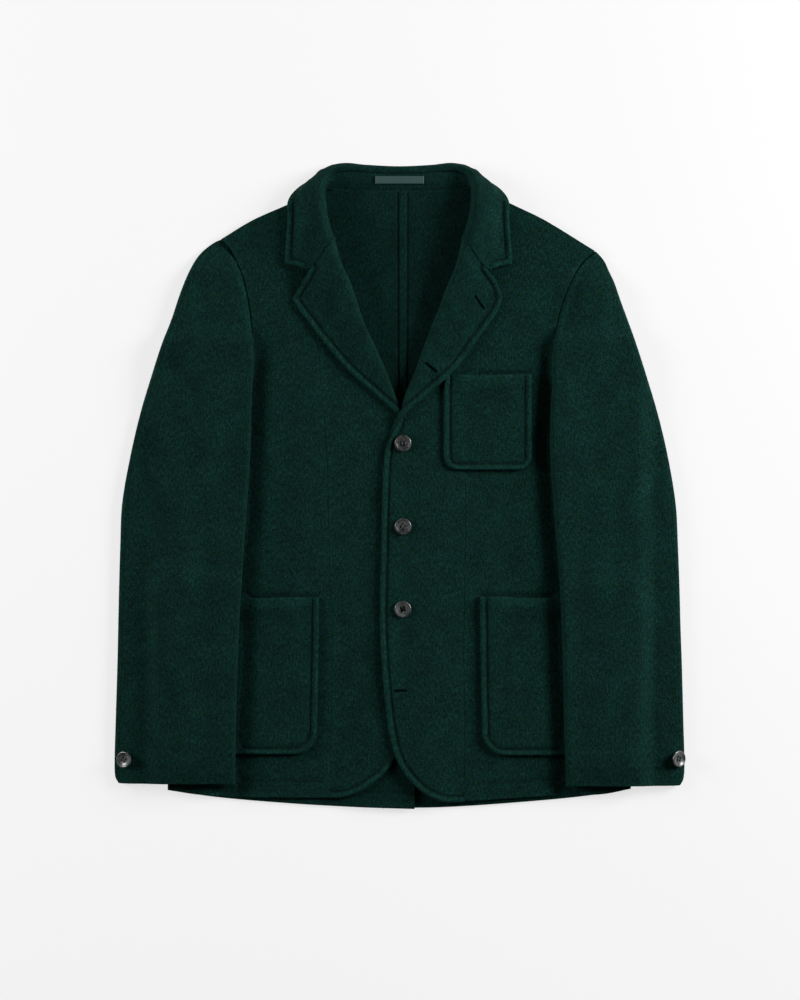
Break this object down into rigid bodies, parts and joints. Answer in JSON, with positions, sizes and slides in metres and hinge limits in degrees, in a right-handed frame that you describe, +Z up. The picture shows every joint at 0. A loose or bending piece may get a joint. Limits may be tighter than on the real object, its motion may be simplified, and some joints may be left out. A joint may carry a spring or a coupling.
{
  "type": "sport coat",
  "caption": "Single-breasted sport coat in dark green brushed wool laid flat, with notch lapels, patch pockets, buttoned fronts and one-button cuffs.",
  "frame": {"origin": "centre of the bounding box, on the flat underside the coat rests on", "axes": "+Z up from the surface it lies on, +Y from hem to collar, +X to the right as seen from above"},
  "size_m": [0.6615, 0.748, 0.0338],
  "materials": {
    "wool": "brushed",
    "wool_inside": "brushed",
    "horn": "satin",
    "label": "woven"
  },
  "bodies": {
    "root": {"back_left": "wool_inside", "back_right": "wool_inside", "side_left": "wool", "side_right": "wool", "front_left": "wool", "front_right": "wool", "lapel_left": "wool", "lapel_right": "wool", "sleeve_upper_left": "wool", "sleeve_upper_right": "wool", "sleeve_under_left": "wool", "sleeve_under_right": "wool", "collar": "wool", "collar_stand": "wool_inside", "label": "label", "pocket_breast": "wool", "pocket_left": "wool", "pocket_right": "wool", "button_front_1": "horn", "button_front_2": "horn", "button_front_3": "horn", "button_cuff_left": "horn", "button_cuff_right": "horn"}
  },
  "joints": []
}
